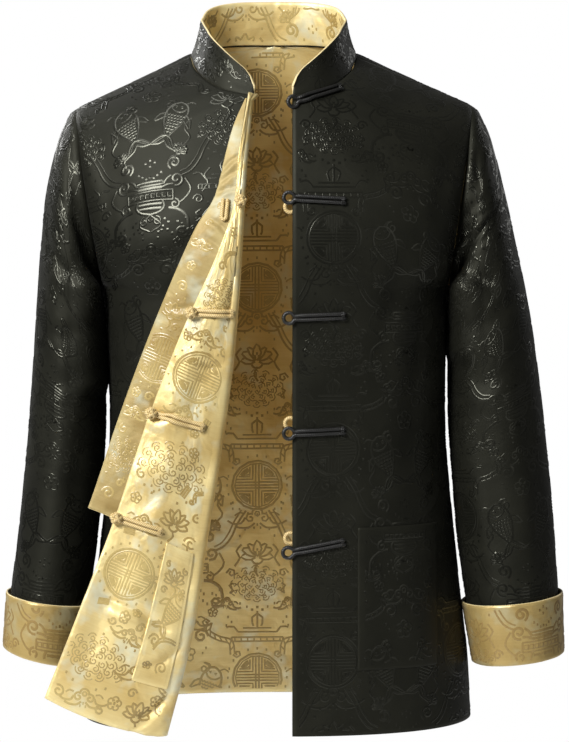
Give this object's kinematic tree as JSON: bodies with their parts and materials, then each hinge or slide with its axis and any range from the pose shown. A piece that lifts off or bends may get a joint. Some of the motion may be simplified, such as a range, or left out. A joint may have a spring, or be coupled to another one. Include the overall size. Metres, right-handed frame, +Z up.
{
  "type": "tang jacket",
  "caption": "Reversible brocade tang jacket with a stand collar, frog fastenings, patch pockets and turned-back cuffs, worn open with the right front folded back to its gold side.",
  "frame": {"origin": "in the middle of the neck, at the height where the collar starts at the sides, where the wearer's neck and shoulders hold the jacket", "axes": "+Z up, the front faces -Y, the wearer's left is +X"},
  "size_m": [0.622, 0.2745, 0.7926],
  "materials": {
    "black_brocade": "satin",
    "gold_brocade": "satin",
    "black_cord": "satin",
    "gold_cord": "satin"
  },
  "bodies": {
    "root": {"back": "black_brocade", "back_lining": "gold_brocade", "button_stand": "gold_brocade", "collar": "black_brocade", "collar_lining": "gold_brocade", "cuff_left": "gold_brocade", "cuff_right": "gold_brocade", "frog_cord_2": "gold_cord", "frog_cord_3": "gold_cord", "frog_cord_4": "gold_cord", "frog_cord_5": "gold_cord", "frog_knot_2": "gold_cord", "frog_knot_3": "gold_cord", "frog_knot_4": "gold_cord", "frog_knot_5": "gold_cord", "frog_loop_1": "black_cord", "frog_loop_2": "black_cord", "frog_loop_3": "black_cord", "frog_loop_4": "black_cord", "frog_loop_5": "black_cord", "front_left": "black_brocade", "front_left_lining": "gold_brocade", "front_right": "black_brocade", "front_right_lining": "gold_brocade", "lining_loop_2": "gold_cord", "lining_loop_4": "gold_cord", "lining_loop_5": "gold_cord", "pocket_left": "black_brocade", "pocket_right": "gold_brocade", "sleeve_left": "black_brocade", "sleeve_left_lining": "gold_brocade", "sleeve_right": "black_brocade", "sleeve_right_lining": "gold_brocade"}
  },
  "joints": []
}
